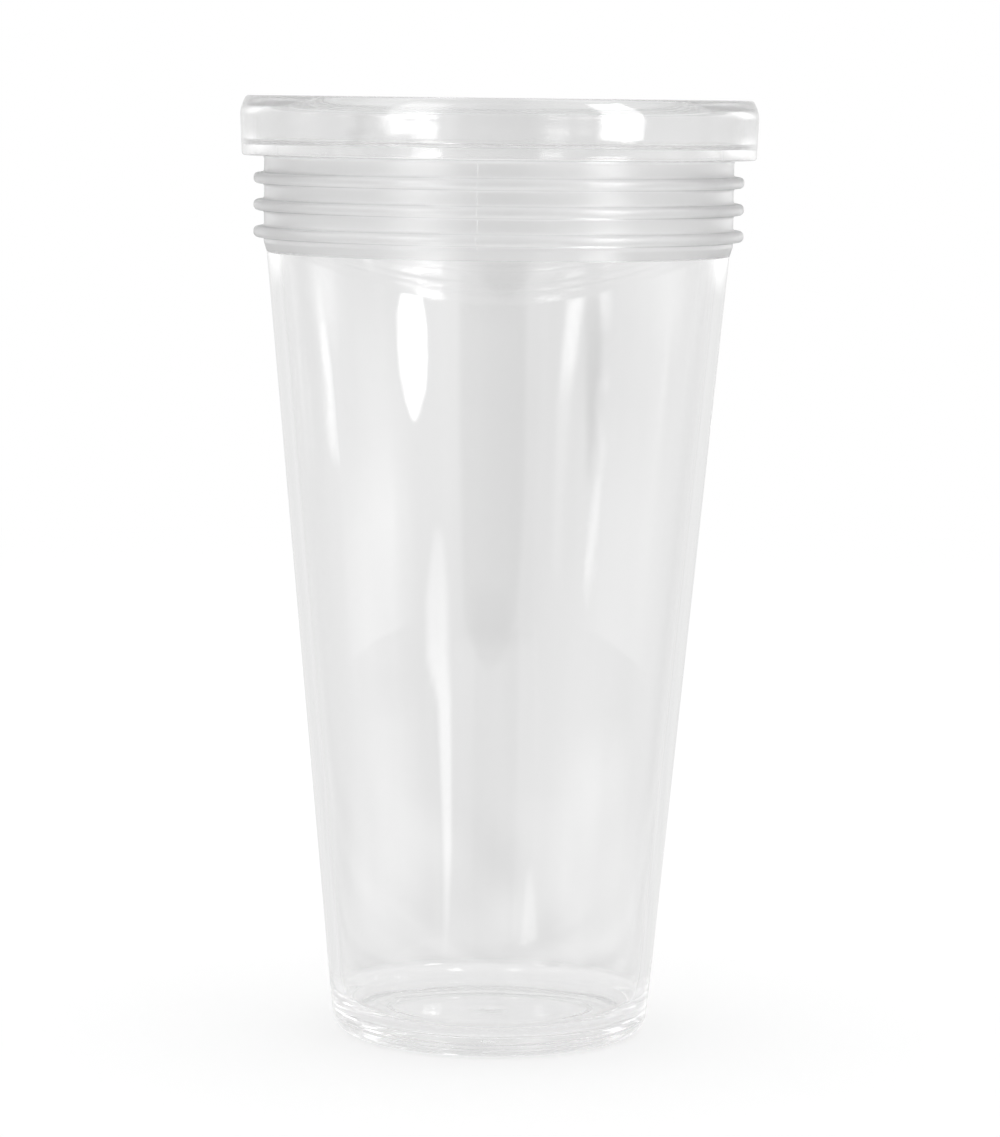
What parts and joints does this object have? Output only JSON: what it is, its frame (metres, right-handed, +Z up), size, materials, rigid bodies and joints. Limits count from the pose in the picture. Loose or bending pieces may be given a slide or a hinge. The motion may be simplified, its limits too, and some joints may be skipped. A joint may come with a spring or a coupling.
{
  "type": "insulated tumbler inner cup",
  "caption": "Clear plastic inner cup of a take-apart insulated tumbler: wide collar with a lid seat, ridged neck for an outer shell, tapered body and ring foot.",
  "frame": {"origin": "middle of the plane that the foot ring stands on", "axes": "+Z up along the cup's axis, out of its mouth; the cup is round, so X and Y are free"},
  "size_m": [0.0998, 0.0998, 0.182],
  "materials": {
    "clear_plastic": "gloss"
  },
  "bodies": {
    "root": {"cup": "clear_plastic"}
  },
  "joints": []
}
